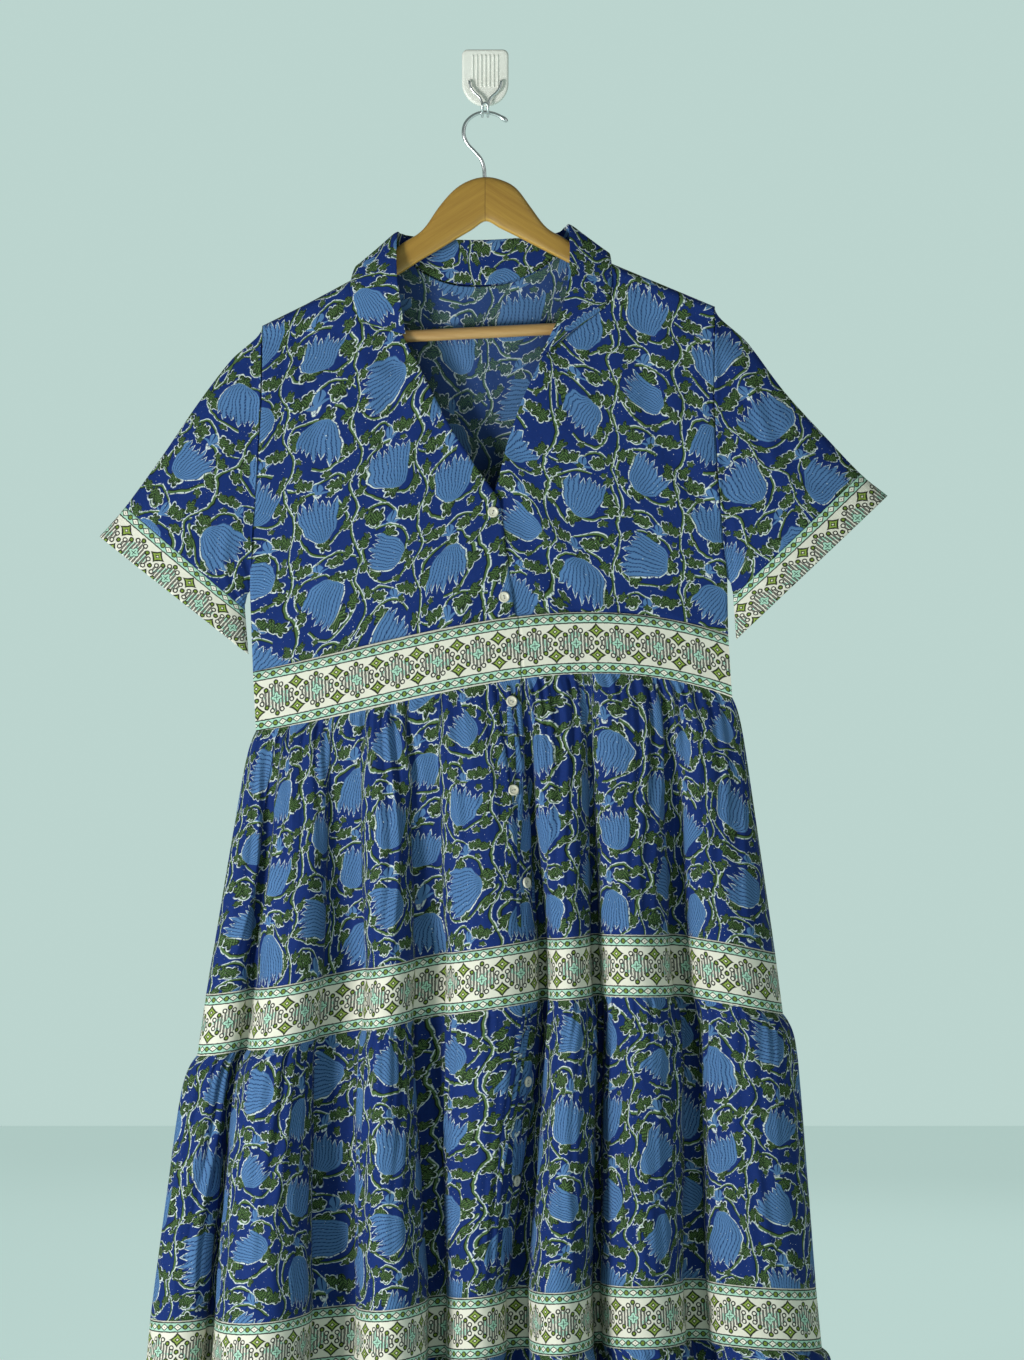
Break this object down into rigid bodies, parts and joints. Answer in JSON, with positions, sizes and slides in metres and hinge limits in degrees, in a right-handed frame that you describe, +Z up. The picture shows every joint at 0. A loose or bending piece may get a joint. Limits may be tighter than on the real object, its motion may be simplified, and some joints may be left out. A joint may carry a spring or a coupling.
{
  "type": "tiered midi dress on a wooden hanger and an adhesive wall hook",
  "caption": "Button-front tiered midi dress with a shirt collar, V neck and wide elbow sleeves, hanging flat on a wooden hanger from an adhesive wall hook.",
  "frame": {"origin": "middle of the wall hook plate's back face, on the wall", "axes": "+Z up, +Y into the wall, +X to the right of someone facing the wall"},
  "size_m": [0.793, 0.1371, 1.4337],
  "materials": {
    "print_cotton": "royal blue cotton with a flower and vine print",
    "border_cotton": "cream cotton with a mint and olive medallion border print",
    "honey_wood": "satin varnished",
    "bright_steel": "bright plated wire",
    "hook_plastic": "moulded, off-white",
    "bone_button": "bone coloured"
  },
  "bodies": {
    "root": {"waist_band_front_left": "border_cotton", "waist_band_front_right": "border_cotton", "waist_band_back": "border_cotton", "tier_1_front_left": "print_cotton", "tier_1_front_right": "print_cotton", "tier_1_back": "print_cotton", "band_2_front_left": "border_cotton", "band_2_front_right": "border_cotton", "band_2_back": "border_cotton", "tier_2_front_left": "print_cotton", "tier_2_front_right": "print_cotton", "tier_2_back": "print_cotton", "band_3_front_left": "border_cotton", "band_3_front_right": "border_cotton", "band_3_back": "border_cotton", "tier_3_front_left": "print_cotton", "tier_3_front_right": "print_cotton", "tier_3_back": "print_cotton", "bodice_front_left": "print_cotton", "bodice_front_right": "print_cotton", "bodice_back": "print_cotton", "sleeve_left": "print_cotton", "sleeve_band_left": "border_cotton", "sleeve_right": "print_cotton", "sleeve_band_right": "border_cotton", "collar": "print_cotton", "hanger_arms": "honey_wood", "hanger_bar": "honey_wood", "hanger_hook": "bright_steel", "wall_hook_plate": "hook_plastic", "wall_hook_wire": "bright_steel", "button_1": "bone_button", "button_2": "bone_button", "button_3": "bone_button", "button_4": "bone_button", "button_5": "bone_button", "button_6": "bone_button", "button_7": "bone_button"}
  },
  "joints": []
}
